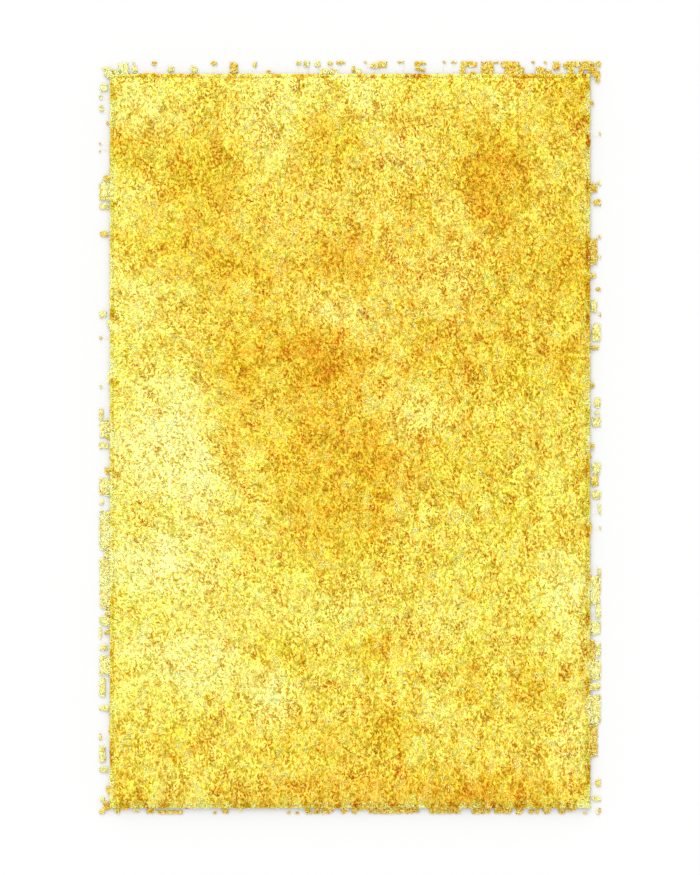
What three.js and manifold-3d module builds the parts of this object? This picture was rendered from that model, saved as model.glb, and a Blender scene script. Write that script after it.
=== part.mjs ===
// A gold shag rug lying flat: one lumpy slab of long cut pile with flopped locks along its rim.
// Millimetres, +Z up, the flat underside on z = 0, the origin under the middle of the rug.

import * as THREE from 'three';
import { mergeVertices } from 'three/addons/utils/BufferGeometryUtils.js';
import Module from 'manifold-3d';

// The rug's size over the tips of its longest locks
const RUG_WIDTH = 1200;
const RUG_LENGTH = 1800;

// The straight edge of the dense pile, from the rug's middle
const PILE_SIDE = 574;
const PILE_TOP = 869;
const PILE_BOTTOM = 886;

// The slab stops short of the pile edge, and the short locks fill the rest
const SLAB_INSET = 11;
const EDGE_WAVER = 2.5;
const EDGE_HEIGHT = 15;
const EDGE_ROLL = 34;

// Pile clumps, longer along Y, each a raised point between lower ones
const CLUMP_WIDTH = 28;
const CLUMP_LENGTH = 32;
const CLUMP_SHIFT = 7;
const PILE_HEIGHT = 31;
const CLUMP_RISE = 6;
const CLUMP_UNEVENNESS = 4.5;
const LOWEST_PILE = 19;
const HIGHEST_PILE = 42;

// Broad places where the pile stands fuller or lies brushed flat
const DRIFTS = [
  { x: -420, y: 640, across: 150, along: 170, rise: -4 },
  { x: -120, y: 60, across: 170, along: 320, rise: -4 },
  { x: 400, y: 800, across: 200, along: 90, rise: -3 },
  { x: 60, y: -800, across: 260, along: 110, rise: -3 },
  { x: 470, y: 760, across: 90, along: 80, rise: -2 },
  { x: -430, y: 10, across: 150, along: 180, rise: 4 },
  { x: -410, y: -440, across: 190, along: 230, rise: 4 },
  { x: 190, y: 420, across: 190, along: 160, rise: 4 },
  { x: 330, y: 60, across: 200, along: 170, rise: 3 },
  { x: 540, y: -520, across: 100, along: 210, rise: 3 },
  { x: -290, y: 760, across: 130, along: 90, rise: 3 },
];

// Rim locks: how far apart their roots are, and their form
const LOCK_PITCH = 21;
const LOCK_SHIFT = 2;
const LOCK_SIDES = 3;
const LOCK_STEPS = 2;
const FOOT_LEVEL = Math.cos((2 * Math.PI) / LOCK_SIDES);
const LOCK_ROOT_DEPTH = 26;
const LOCK_ROOT_WIDTH = 19;
const LOCK_TIP_SHARE = 0.45;
const LOW_LOCK_HEIGHT = 11;
const HIGH_LOCK_HEIGHT = 8;
const HIGH_LOCK_LIFT = 9;
const SHORT_REACH_SPREAD = 5;
const LONG_REACH_SPREAD = 5;
const FULL_REACH_SHARE = 0.5;
const LOCK_SWAY = 3;
const TUFT_LOCKS = 3;
const TUFT_LEAN = 6;
const LONG_REACH = 30;
const CORNER_FAN = [-0.5, 0, 0.5];
const CORNER_REACH_SHARE = 0.85;

// Where long locks stick out: stretches along each side, and how far short of the rug's limit
const LONG_LOCKS = [
  { side: 'top', from: -600, to: -505, short: 0 },
  { side: 'top', from: -475, to: -455, short: 8 },
  { side: 'top', from: -385, to: -365, short: 16 },
  { side: 'top', from: -335, to: -315, short: 8 },
  { side: 'top', from: -235, to: -215, short: 14 },
  { side: 'top', from: 258, to: 345, short: 0 },
  { side: 'top', from: 358, to: 418, short: 0 },
  { side: 'top', from: 440, to: 500, short: 8 },
  { side: 'top', from: 505, to: 600, short: 0 },
  { side: 'right', from: 840, to: 890, short: 0 },
  { side: 'right', from: 580, to: 615, short: 0 },
  { side: 'right', from: 540, to: 568, short: 6 },
  { side: 'right', from: -475, to: -305, short: 0 },
  { side: 'right', from: -700, to: -490, short: 0 },
  { side: 'right', from: -765, to: -700, short: 12 },
  { side: 'right', from: -840, to: -815, short: 4 },
  { side: 'bottom', from: -600, to: -500, short: 0 },
  { side: 'bottom', from: -485, to: -395, short: 0 },
  { side: 'bottom', from: -320, to: -290, short: 4 },
  { side: 'bottom', from: -150, to: 270, short: 0 },
  { side: 'bottom', from: 290, to: 390, short: 0 },
  { side: 'bottom', from: 395, to: 545, short: 2 },
  { side: 'left', from: 775, to: 845, short: 0 },
  { side: 'left', from: 545, to: 625, short: 0 },
  { side: 'left', from: -620, to: -245, short: 0 },
  { side: 'left', from: -655, to: -640, short: 4 },
  { side: 'left', from: -800, to: -705, short: 0 },
  { side: 'left', from: -890, to: -845, short: 2 },
];

// The four sides: the axis that runs along each, the way out, its pile edge and the rug's limit
const SIDES = [
  { name: 'top', along: 'x', out: 1, pile: PILE_TOP, limit: RUG_LENGTH / 2 },
  { name: 'right', along: 'y', out: 1, pile: PILE_SIDE, limit: RUG_WIDTH / 2 },
  { name: 'bottom', along: 'x', out: -1, pile: PILE_BOTTOM, limit: RUG_LENGTH / 2 },
  { name: 'left', along: 'y', out: -1, pile: PILE_SIDE, limit: RUG_WIDTH / 2 },
];

// What each set of repeatable chance numbers is used for
const CLUMP_UPS = 1;
const CLUMP_PLACE_X = 2;
const CLUMP_PLACE_Y = 3;
const LOCK_PLACE = 4;
const LOCK_REACH = 5;
const LOCK_FULL_REACH = 6;
const LOCK_WAY = 7;

// An even spread of repeatable numbers from 0 to 1, one for each whole-number place and use
function chance(i, j, use) {
  const wave = Math.sin(i * 127.1 + j * 311.7 + use * 74.7) * 43758.5453;
  return wave - Math.floor(wave);
}

// The same from -1 to 1
function spread(i, j, use) {
  return chance(i, j, use) * 2 - 1;
}

// The broad rise or fall of the pile at a place
function driftAt(x, y) {
  let rise = 0;
  for (const drift of DRIFTS) {
    const across = (x - drift.x) / drift.across;
    const along = (y - drift.y) / drift.along;
    rise += drift.rise * Math.exp(-(across * across + along * along));
  }
  return rise;
}

// The height of the slab at a grid point, rolling down to the rim
function slabHeight(i, j, x, y, edgeDistance) {
  const raised = (i + j) % 2 === 0 ? 1 : -1;
  const clump = raised * CLUMP_RISE + spread(i, j, CLUMP_UPS) * CLUMP_UNEVENNESS;
  const full = THREE.MathUtils.clamp(PILE_HEIGHT + clump + driftAt(x, y), LOWEST_PILE, HIGHEST_PILE);
  const roll = Math.sqrt(THREE.MathUtils.clamp(edgeDistance / EDGE_ROLL, 0, 1));
  return THREE.MathUtils.lerp(EDGE_HEIGHT, full, roll);
}

// The slab's top points on a shifted grid, row by row from the bottom left
function slabGrid() {
  const left = -PILE_SIDE + SLAB_INSET;
  const right = PILE_SIDE - SLAB_INSET;
  const low = -PILE_BOTTOM + SLAB_INSET;
  const high = PILE_TOP - SLAB_INSET;
  const columns = Math.round((right - left) / CLUMP_WIDTH);
  const rows = Math.round((high - low) / CLUMP_LENGTH);
  const points = [];
  for (let j = 0; j <= rows; j += 1) {
    for (let i = 0; i <= columns; i += 1) {
      const rim = i === 0 || j === 0 || i === columns || j === rows;
      const shift = rim ? EDGE_WAVER : CLUMP_SHIFT;
      const x = THREE.MathUtils.lerp(left, right, i / columns) + spread(i, j, CLUMP_PLACE_X) * shift;
      const y = THREE.MathUtils.lerp(low, high, j / rows) + spread(i, j, CLUMP_PLACE_Y) * shift;
      const edgeDistance = rim ? 0 : Math.min(x - left, right - x, y - low, high - y);
      points.push(new THREE.Vector3(x, y, slabHeight(i, j, x, y, edgeDistance)));
    }
  }
  return { points, columns, rows };
}

// The grid's rim, anticlockwise seen from above, as indices into its points
function rimIndices(columns, rows) {
  const rim = [];
  const at = (i, j) => j * (columns + 1) + i;
  for (let i = 0; i < columns; i += 1) rim.push(at(i, 0));
  for (let j = 0; j < rows; j += 1) rim.push(at(columns, j));
  for (let i = columns; i > 0; i -= 1) rim.push(at(i, rows));
  for (let j = rows; j > 0; j -= 1) rim.push(at(0, j));
  return rim;
}

// A closed slab: the lumpy top, a wall down from its rim, and a flat underside
function slabGeometry() {
  const { points, columns, rows } = slabGrid();
  const positions = points.flatMap((point) => point.toArray());
  const faces = [];
  for (let j = 0; j < rows; j += 1) {
    for (let i = 0; i < columns; i += 1) {
      const a = j * (columns + 1) + i;
      const b = a + 1;
      const c = b + columns + 1;
      const d = a + columns + 1;
      // The fold of each cell joins its two low corners, so that every raised one is a peak
      if ((i + j) % 2 === 0) faces.push(a, b, d, b, c, d);
      else faces.push(a, b, c, a, c, d);
    }
  }
  const rim = rimIndices(columns, rows);
  const underRim = points.length;
  for (const index of rim) positions.push(points[index].x, points[index].y, 0);
  const underMiddle = underRim + rim.length;
  positions.push(0, 0, 0);
  rim.forEach((index, k) => {
    const nextK = (k + 1) % rim.length;
    const next = rim[nextK];
    const under = underRim + k;
    const underNext = underRim + nextK;
    faces.push(index, under, underNext, index, underNext, next);
    faces.push(underMiddle, underNext, under);
  });
  const geometry = new THREE.BufferGeometry();
  geometry.setAttribute('position', new THREE.Float32BufferAttribute(positions, 3));
  geometry.setIndex(faces);
  return geometry;
}

// One tapered lock from its root, out along a direction, with its tip resting on the floor
function lockGeometry({ root, out, reach, sway, width, height, lift }) {
  const length = LOCK_ROOT_DEPTH + reach;
  const cone = new THREE.CylinderGeometry(LOCK_TIP_SHARE, 1, length, LOCK_SIDES, LOCK_STEPS);
  const place = cone.getAttribute('position');
  const side = new THREE.Vector2(out.y, -out.x);
  const point = new THREE.Vector3();
  for (let k = 0; k < place.count; k += 1) {
    point.fromBufferAttribute(place, k);
    const t = point.y / length + 0.5;
    const ahead = t * length - LOCK_ROOT_DEPTH;
    const aside = (point.x * width) / 2 + sway * t * t;
    // A section with a flat foot and one ridge above it
    const taper = THREE.MathUtils.lerp(1, LOCK_TIP_SHARE, t);
    const ridge = (point.z / taper - FOOT_LEVEL) / (1 - FOOT_LEVEL);
    const foot = lift * (1 - t * t);
    const thickness = height * taper;
    place.setXYZ(
      k,
      root.x + out.x * ahead + side.x * aside,
      root.y + out.y * ahead + side.y * aside,
      foot + Math.max(ridge, 0) * thickness,
    );
  }
  cone.deleteAttribute('normal');
  cone.deleteAttribute('uv');
  return mergeVertices(cone, 0.001);
}

// How far from the rug's middle a lock reaches: to the pile edge, or as the long tufts do
function reachAt(side, along, seed) {
  const stretch = LONG_LOCKS.find((row) => row.side === side.name && along >= row.from && along <= row.to);
  const less = chance(seed, 1, LOCK_REACH);
  if (!stretch) return side.pile - less * SHORT_REACH_SPREAD;
  const full = side.limit - stretch.short;
  return chance(seed, 1, LOCK_FULL_REACH) < FULL_REACH_SHARE ? full : full - less * LONG_REACH_SPREAD;
}

// How far a lock's tip leans along its side, towards the middle of its tuft
function tuftLean(k, out) {
  const place = (k % TUFT_LOCKS) - (TUFT_LOCKS - 1) / 2;
  const alongWay = out.y - out.x;
  return -place * TUFT_LEAN * alongWay;
}

// The locks along one side, every second one arched over from higher in the pile
function sideLocks(side, seedBase) {
  const alongX = side.along === 'x';
  const from = alongX ? -PILE_SIDE : -PILE_BOTTOM;
  const to = alongX ? PILE_SIDE : PILE_TOP;
  const count = Math.floor((to - from - 2 * LOCK_PITCH) / LOCK_PITCH);
  const out = alongX ? new THREE.Vector2(0, side.out) : new THREE.Vector2(side.out, 0);
  const edge = side.pile - SLAB_INSET;
  const locks = [];
  for (let k = 0; k < count; k += 1) {
    const seed = seedBase + k;
    const middle = THREE.MathUtils.lerp(from + LOCK_PITCH, to - LOCK_PITCH, (k + 0.5) / count);
    const along = middle + spread(seed, 1, LOCK_PLACE) * LOCK_SHIFT;
    const reach = reachAt(side, along, seed) - edge;
    const high = k % 2 === 1;
    locks.push(lockGeometry({
      root: alongX ? new THREE.Vector2(along, side.out * edge) : new THREE.Vector2(side.out * edge, along),
      out,
      reach,
      sway: (tuftLean(k, out) + spread(seed, 1, LOCK_WAY) * LOCK_SWAY) * Math.min(1, reach / LONG_REACH),
      width: LOCK_ROOT_WIDTH,
      height: high ? HIGH_LOCK_HEIGHT : LOW_LOCK_HEIGHT,
      lift: high ? HIGH_LOCK_LIFT : 0,
    }));
  }
  return locks;
}

// A small fan of locks at each corner
function cornerLocks() {
  const locks = [];
  for (const right of [-1, 1]) {
    for (const up of [-1, 1]) {
      const pileY = up > 0 ? PILE_TOP : PILE_BOTTOM;
      const root = new THREE.Vector2(right * (PILE_SIDE - SLAB_INSET), up * (pileY - SLAB_INSET));
      for (const turn of CORNER_FAN) {
        const out = new THREE.Vector2(right, up).normalize().rotateAround(new THREE.Vector2(), turn);
        const roomX = (RUG_WIDTH / 2 - Math.abs(root.x)) / Math.abs(out.x);
        const roomY = (RUG_LENGTH / 2 - Math.abs(root.y)) / Math.abs(out.y);
        locks.push(lockGeometry({
          root,
          out,
          reach: Math.min(roomX, roomY) * CORNER_REACH_SHARE,
          sway: 0,
          width: LOCK_ROOT_WIDTH,
          height: LOW_LOCK_HEIGHT,
          lift: 0,
        }));
      }
    }
  }
  return locks;
}

const wasm = await Module();
wasm.setup();

// A solid from a closed geometry whose shared points are merged
function solid(geometry) {
  return new wasm.Manifold(new wasm.Mesh({
    numProp: 3,
    vertProperties: new Float32Array(geometry.getAttribute('position').array),
    triVerts: new Uint32Array(geometry.getIndex().array),
  }));
}

// The slab with every lock fused to it by its root
function rugGeometry() {
  const locks = SIDES.flatMap((side, k) => sideLocks(side, k * 1000));
  const pieces = [slabGeometry(), ...locks, ...cornerLocks()];
  const joined = wasm.Manifold.union(pieces.map(solid)).getMesh();
  const geometry = new THREE.BufferGeometry();
  geometry.setAttribute('position', new THREE.Float32BufferAttribute(joined.vertProperties, 3));
  geometry.setIndex(new THREE.Uint32BufferAttribute(joined.triVerts, 1));
  return geometry;
}

const pileMaterial = new THREE.MeshStandardMaterial({ color: 0xedd354, roughness: 0.95, metalness: 0 });
const rug = new THREE.Mesh(rugGeometry(), pileMaterial);
rug.name = 'shag_rug';

const object = new THREE.Group();
object.add(rug);

export default object;
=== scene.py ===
"""A gold shag rug lying flat, seen from straight above: backing cloth, root mass and cut yarn strands.
Metres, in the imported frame: +Y is the top of the photo, +X its right, and the floor is z = 0."""

import math
from collections import namedtuple

import bpy
import numpy as np
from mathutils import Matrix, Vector
from mathutils.bvhtree import BVHTree


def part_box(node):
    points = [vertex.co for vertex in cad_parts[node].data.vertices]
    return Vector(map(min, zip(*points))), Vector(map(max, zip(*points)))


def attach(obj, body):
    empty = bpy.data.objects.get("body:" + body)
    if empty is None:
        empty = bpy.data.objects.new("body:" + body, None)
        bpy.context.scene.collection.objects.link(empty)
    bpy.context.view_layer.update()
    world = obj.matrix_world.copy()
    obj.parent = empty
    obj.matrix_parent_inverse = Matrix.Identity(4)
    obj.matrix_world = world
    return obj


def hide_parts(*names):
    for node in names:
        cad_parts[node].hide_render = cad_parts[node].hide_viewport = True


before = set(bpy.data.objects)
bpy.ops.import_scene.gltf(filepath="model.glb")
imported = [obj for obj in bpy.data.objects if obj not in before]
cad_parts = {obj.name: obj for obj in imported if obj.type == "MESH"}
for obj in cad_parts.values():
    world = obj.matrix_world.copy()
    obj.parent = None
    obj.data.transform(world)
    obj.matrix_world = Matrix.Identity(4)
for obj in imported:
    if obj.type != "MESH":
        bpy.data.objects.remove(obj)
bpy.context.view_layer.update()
NODE = "shag_rug"
BODY = "root"
MM = 0.001

# An oval patch, in metres from the rug's middle, and a value that is strongest at its own middle
Patch = namedtuple("Patch", "x y across along value")

# A tuft on the floor: where it starts and ends, in millimetres along its side from the rug's top or left
# end, how far out it lies, in shares of the rim's width from the pile's edge, and its tone
Tuft = namedtuple("Tuft", "start end near far tone")

# A side of the rim: where it starts, the ways along it and outwards, its width and its tufts
Side = namedtuple("Side", "start along out width tufts")

# The dense pile's straight edges, as margins inside the rug's overall box
SIDE_MARGIN = 26 * MM
TOP_MARGIN = 31 * MM
BOTTOM_MARGIN = 14 * MM
node_low, node_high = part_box(NODE)
RUG_LEFT, RUG_RIGHT = node_low[0], node_high[0]
RUG_BOTTOM, RUG_TOP = node_low[1], node_high[1]
PILE_LEFT = RUG_LEFT + SIDE_MARGIN
PILE_RIGHT = RUG_RIGHT - SIDE_MARGIN
PILE_BOTTOM = RUG_BOTTOM + BOTTOM_MARGIN
PILE_TOP = RUG_TOP - TOP_MARGIN

# Backing cloth and the mass of yarn roots above it
BACKING_INSET = 14 * MM
BACKING_THICKNESS = 2.4 * MM
BACKING_CELL = 40 * MM
BED_INSET = 1.5 * MM
BED_CELL = 12 * MM
BED_DEPTH = 3.3 * MM
BED_GAP = 0.2 * MM
BED_LUMP_CELL = 14 * MM
BED_LUMPS = 1.5 * MM
SURFACE_CELL = 8 * MM
RELIEF = 0.5
EDGE_FALL = 24 * MM
EDGE_SHARE = 0.25
EDGE_READ = 26 * MM
EDGE_CURVE = 0.75

# Cut yarn strands: short tips that fill the pile, and longer curls that lie over them
TIPS = 66000
TIP_LAYERS = 4
ROOTS_PAST = 11 * MM
TIP_STEPS = (3.0 * MM, 8.5 * MM)
TIP_HEIGHTS = (-2.0 * MM, 0.2 * MM)
CURLS = 2000
CURL_LAYERS = 1
CURL_STEPS = (3.0 * MM, 4.0 * MM, 4.0 * MM, 3.5 * MM)
CURL_HEIGHTS = (-3.0 * MM, 0.3 * MM, 0.6 * MM, -0.4 * MM)
STRAND_RADIUS = 2.0 * MM
STRAND_SIDES = 3
ROOT_SHARE = 0.9
END_SHARE = 0.7
THINNEST = 0.7
THICKEST = 1.15
ROOT_DEPTH = 12 * MM
LOWEST_ROOT = 3 * MM
LOWEST_STRAND = 2.5 * MM
FLOOR_GAP = 0.1 * MM
SHORTEST = 0.2
LONGEST = 1.25
CURL_TURN = math.radians(62)
WAY_JITTER = math.radians(19)
WAY_SWIRL = math.radians(15)
SWIRL_CELL = 60 * MM
LIFT_SPREAD = 0.6 * MM
SEED = 41

# Colour of the strands, from 0, rust, over amber and gold to 1, cream
MIDDLE_TONE = 0.565
STRAND_SPREAD = 0.14
FINE_CELL = 8 * MM
FINE_SPREAD = 0.24
PATCH_CELL = 26 * MM
PATCH_SPREAD = 0.37
PALER_PATCHES = 0.7
STREAK_LENGTH = 36 * MM
STREAK_WIDTH = 8 * MM
STREAK_SPREAD = 0.60
PALER_STREAKS = 0.6
DRIFT_STRENGTH = 0.80
DRIFT_FALL = 0.7
DRIFT_SHARPNESS = 1.6
RAGGED_CELL = 28 * MM
RAGGED_REACH = 18 * MM
MIDDLE_WARMTH = 0.42
WARM_CELL = 22 * MM
WARM_SPREAD = 0.27
# The bed leans a little more to orange than the strands: painted shade hue for the hollows between them
BED_SHADE_WARMTH = 0.08
STRAND_WARMTH = 0.36
# Strands that lie high are paler and those that lie low deeper in tone: painted light and shade
LIFT_LIGHT_AND_SHADE = 0.12
PALER_SHARE = 0.18
RUST_TONE = 0.0
DARKEST_TONE = 0.1
BED_TONES = (0.2, 0.9)
SOFT_TONE = 0.75
SOFT_SHARE = 0.5
DULL_SHARE = 0.12
# Near the pile's edge the painted amber shade is taken away and strands and bed are paler: painted light
# on the edge's fall
EDGE_SHADE_TAKEN_AWAY = -0.9
EDGE_REACH = 15 * MM
EDGE_PAINTED_LIGHT = 0.10
# Strands near the bottom edge are paler: painted light
BOTTOM_PAINTED_LIGHT = 0.16
BOTTOM_LIGHT_REACH = 26 * MM
# Strands that lie low lean to amber: painted shade
SUNK_PAINTED_SHADE = 0.17
HANGING_DULL = 0.12
RUST_CELL = 13 * MM
RUST_PLACES = 0.60
RUST_SHARE = 0.4
RUST_X = 0.05
RUST_Y = 0.35
RUST_WIDTH = 0.42
RUST_LENGTH = 0.62
RUST_FAR = 0.26

# Broad ways that the pile lies, listed one by one. Each value is a way in degrees from +X
WAYS = [Patch(*row) for row in (
    (0, 0.6, 0.9, 0.3, -88),
    (-0.42, 0.12, 0.24, 0.26, -12),
    (-0.42, -0.32, 0.24, 0.26, -22),
    (0.1, 0.25, 0.22, 0.2, -58),
    (0.4, 0.05, 0.26, 0.5, -80),
    (0.05, -0.5, 0.4, 0.4, -90),
)]

# Broad drifts of colour, placed to follow the photo, the later ones after block means of the photo
# and the render were compared: above 0 leans to cream, below it to amber
DRIFTS = [Patch(*row) for row in (
    (-0.44, -0.26, 0.19, 0.42, 0.09),
    (-0.203, 0.728, 0.075, 0.085, 0.16),
    (0.043, 0.807, 0.055, 0.065, 0.14),
    (0.115, 0.68, 0.08, 0.045, 0.12),
    (0.239, 0.551, 0.045, 0.06, 0.14),
    (0.191, 0.384, 0.1, 0.085, 0.18),
    (-0.048, 0.321, 0.055, 0.05, 0.18),
    (-0.511, 0.338, 0.075, 0.1, 0.16),
    (-0.53, 0.587, 0.06, 0.035, 0.12),
    (-0.406, -0.03, 0.155, 0.165, 0.26),
    (0.163, 0.051, 0.09, 0.05, 0.12),
    (-0.435, -0.3, 0.15, 0.07, 0.24),
    (-0.349, -0.539, 0.11, 0.08, 0.18),
    (-0.511, -0.498, 0.075, 0.04, 0.15),
    (0.516, -0.336, 0.08, 0.07, 0.16),
    (0.217, -0.443, 0.065, 0.055, 0.12),
    (0.234, -0.642, 0.05, 0.06, 0.12),
    (-0.196, -0.603, 0.05, 0.08, 0.1),
    (0.363, -0.572, 0.05, 0.08, 0.1),
    (0.358, 0.799, 0.065, 0.035, 0.1),
    (-0.454, 0.787, 0.09, 0.065, 0.08),
    (-0.53, 0.68, 0.055, 0.07, -0.12),
    (-0.346, 0.625, 0.105, 0.095, -0.16),
    (-0.382, 0.448, 0.135, 0.065, -0.14),
    (-0.029, 0.697, 0.085, 0.06, -0.16),
    (-0.012, 0.424, 0.07, 0.07, -0.14),
    (0.337, 0.622, 0.09, 0.11, -0.26),
    (0.507, 0.773, 0.085, 0.1, -0.06),
    (0.425, 0.386, 0.16, 0.11, -0.1),
    (0.37, 0.185, 0.2, 0.085, -0.12),
    (-0.115, 0.192, 0.145, 0.08, -0.28),
    (-0.072, -0.018, 0.15, 0.125, -0.15),
    (-0.048, -0.214, 0.105, 0.09, -0.14),
    (0.091, -0.706, 0.05, 0.055, -0.2),
    (0.239, -0.842, 0.29, 0.05, -0.22),
    (-0.53, -0.842, 0.06, 0.05, -0.16),
    (-0.239, -0.842, 0.14, 0.045, -0.12),
    (0.244, -0.061, 0.14, 0.08, -0.1),
    (-0.25, 0.374, 0.1, 0.07, -0.1),
    (0, 0.38, 0.09, 0.05, -0.1),
    (0.172, 0.37, 0.06, 0.17, -0.14),
    (-0.287, 0.06, 0.06, 0.16, -0.22),
    (-0.172, 0.154, 0.06, 0.05, 0.16),
    (0.057, -0.1, 0.05, 0.13, -0.14),
    (-0.08, -0.42, 0.16, 0.06, 0.11),
    (0.057, -0.506, 0.05, 0.04, -0.18),
    (-0.172, -0.616, 0.05, 0.05, 0.18),
    (0.34, -0.6, 0.12, 0.06, -0.14),
    (0.517, -0.45, 0.05, 0.1, 0.16),
    (-0.402, -0.726, 0.05, 0.04, -0.12),
    (-0.1, -0.74, 0.1, 0.04, -0.1),
    (0.53, 0.82, 0.05, 0.06, -0.16),
    (0.53, 0.44, 0.05, 0.12, -0.1),
    (0.53, 0.15, 0.05, 0.06, -0.08),
    (0.53, -0.76, 0.05, 0.12, 0.16),
    (-0.53, 0.8, 0.06, 0.09, 0.13),
    (-0.11, 0.83, 0.13, 0.05, 0.12),
    (0, 0.26, 0.1, 0.05, 0.12),
    (-0.46, -0.176, 0.09, 0.045, -0.1),
    (0.402, -0.176, 0.05, 0.045, -0.1),
    (-0.33, -0.286, 0.09, 0.045, -0.11),
    (-0.172, -0.506, 0.05, 0.045, -0.13),
    (-0.35, -0.85, 0.25, 0.05, 0.08),
    (0.12, -0.85, 0.12, 0.05, 0.09),
)]

# Broad drifts of hue, placed after such a comparison: above 0 leans to orange, below it to lemon
WARM_DRIFTS = [Patch(*row) for row in (
    (-0.08, 0.32, 0.36, 0.34, 0.14),
    (-0.02, -0.02, 0.16, 0.25, 0.08),
    (0.38, 0.5, 0.24, 0.2, 0.06),
    (-0.5, -0.05, 0.16, 0.42, -0.11),
    (0.42, -0.22, 0.2, 0.28, -0.12),
    (-0.1, -0.48, 0.5, 0.2, -0.08),
    (0.2, -0.85, 0.34, 0.07, 0.14),
    (-0.15, 0.84, 0.4, 0.07, -0.06),
)]

# Tufts that lie flopped on the floor round the pile, read off enlarged strips of the photo's rim
CREAM, PALE, GOLD, AMBER = 1.0, 0.89, 0.67, 0.65
LEFT_TUFTS = [Tuft(*row) for row in (
    (16, 40, 0, 0.6, CREAM),
    (55, 73, 0.2, 0.9, CREAM),
    (81, 91, 0.7, 1, CREAM),
    (107, 121, 0.6, 1, CREAM),
    (144, 152, 0.15, 0.35, AMBER),
    (195, 200, 0.85, 1, AMBER),
    (212, 217, 0.85, 1, GOLD),
    (272, 288, 0, 0.65, AMBER),
    (288, 334, 0, 1, PALE),
    (341, 355, 0.1, 1, PALE),
    (406, 420, 0.15, 0.9, AMBER),
    (597, 613, 0.3, 1, PALE),
    (618, 637, 0, 0.3, PALE),
    (659, 664, 0.7, 1, GOLD),
    (743, 771, 0, 0.25, PALE),
    (776, 783, 0.75, 1, PALE),
    (831, 860, 0.6, 1, PALE),
    (860, 900, 0, 1, PALE),
    (898, 905, 0, 0.4, AMBER),
    (910, 927, 0.15, 1, PALE),
    (972, 989, 0, 0.55, GOLD),
    (996, 1039, 0, 1, PALE),
    (1048, 1060, 0.5, 1, PALE),
    (1075, 1170, 0, 1, PALE),
    (1170, 1189, 0, 0.6, PALE),
    (1189, 1309, 0, 1, PALE),
    (1309, 1326, 0, 0.5, PALE),
    (1326, 1350, 0, 1, PALE),
    (1350, 1383, 0.75, 1, PALE),
    (1359, 1371, 0, 0.5, AMBER),
    (1395, 1409, 0.2, 1, PALE),
    (1421, 1469, 0, 1, PALE),
    (1474, 1519, 0.4, 1, PALE),
    (1541, 1553, 0, 1, PALE),
    (1591, 1603, 0, 0.15, GOLD),
    (1608, 1624, 0.75, 1, PALE),
    (1636, 1677, 0.4, 1, PALE),
    (1687, 1699, 0.2, 1, PALE),
    (1734, 1754, 0, 0.35, AMBER),
    (1758, 1768, 0.5, 1, PALE),
    (1769, 1790, 0.1, 0.64, AMBER),
    (1788, 1799, 0.5, 1, AMBER),
)]
RIGHT_TUFTS = [Tuft(*row) for row in (
    (2, 16, 0.8, 1, AMBER),
    (2, 30, 0, 0.4, AMBER),
    (21, 52, 0.5, 0.9, AMBER),
    (95, 104, 0, 0.35, AMBER),
    (169, 178, 0.85, 1, AMBER),
    (286, 298, 0.75, 1, PALE),
    (293, 315, 0, 0.65, AMBER),
    (331, 346, 0.3, 1, AMBER),
    (415, 425, 0.8, 1, AMBER),
    (425, 487, 0, 0.7, AMBER),
    (463, 472, 0.8, 1, PALE),
    (508, 520, 0, 0.6, AMBER),
    (542, 549, 0.5, 1, AMBER),
    (570, 601, 0.1, 0.6, PALE),
    (601, 611, 0.8, 1, PALE),
    (628, 671, 0.2, 1, PALE),
    (642, 656, 0.3, 0.7, AMBER),
    (680, 690, 0, 0.8, GOLD),
    (769, 781, 0, 0.4, AMBER),
    (805, 829, 0.4, 1, PALE),
    (838, 845, 0.4, 0.9, PALE),
    (852, 874, 0.2, 1, PALE),
    (915, 927, 0, 0.45, AMBER),
    (941, 948, 0, 0.2, AMBER),
    (960, 986, 0.2, 1, PALE),
    (989, 1017, 0.1, 0.75, GOLD),
    (1027, 1046, 0.2, 1, PALE),
    (1058, 1084, 0.75, 1, PALE),
    (1103, 1132, 0, 0.15, GOLD),
    (1112, 1120, 0.85, 1, GOLD),
    (1211, 1228, 0.7, 1, PALE),
    (1228, 1299, 0, 1, PALE),
    (1299, 1333, 0.5, 1, PALE),
    (1338, 1371, 0, 1, PALE),
    (1390, 1424, 0.5, 1, PALE),
    (1383, 1443, 0, 0.5, GOLD),
    (1431, 1479, 0, 1, PALE),
    (1486, 1503, 0, 1, PALE),
    (1515, 1586, 0, 1, PALE),
    (1586, 1663, 0, 0.7, GOLD),
    (1718, 1734, 0.5, 1, GOLD),
    (1758, 1770, 0.2, 1, PALE),
    (1787, 1798, 0.75, 1, GOLD),
)]
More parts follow.
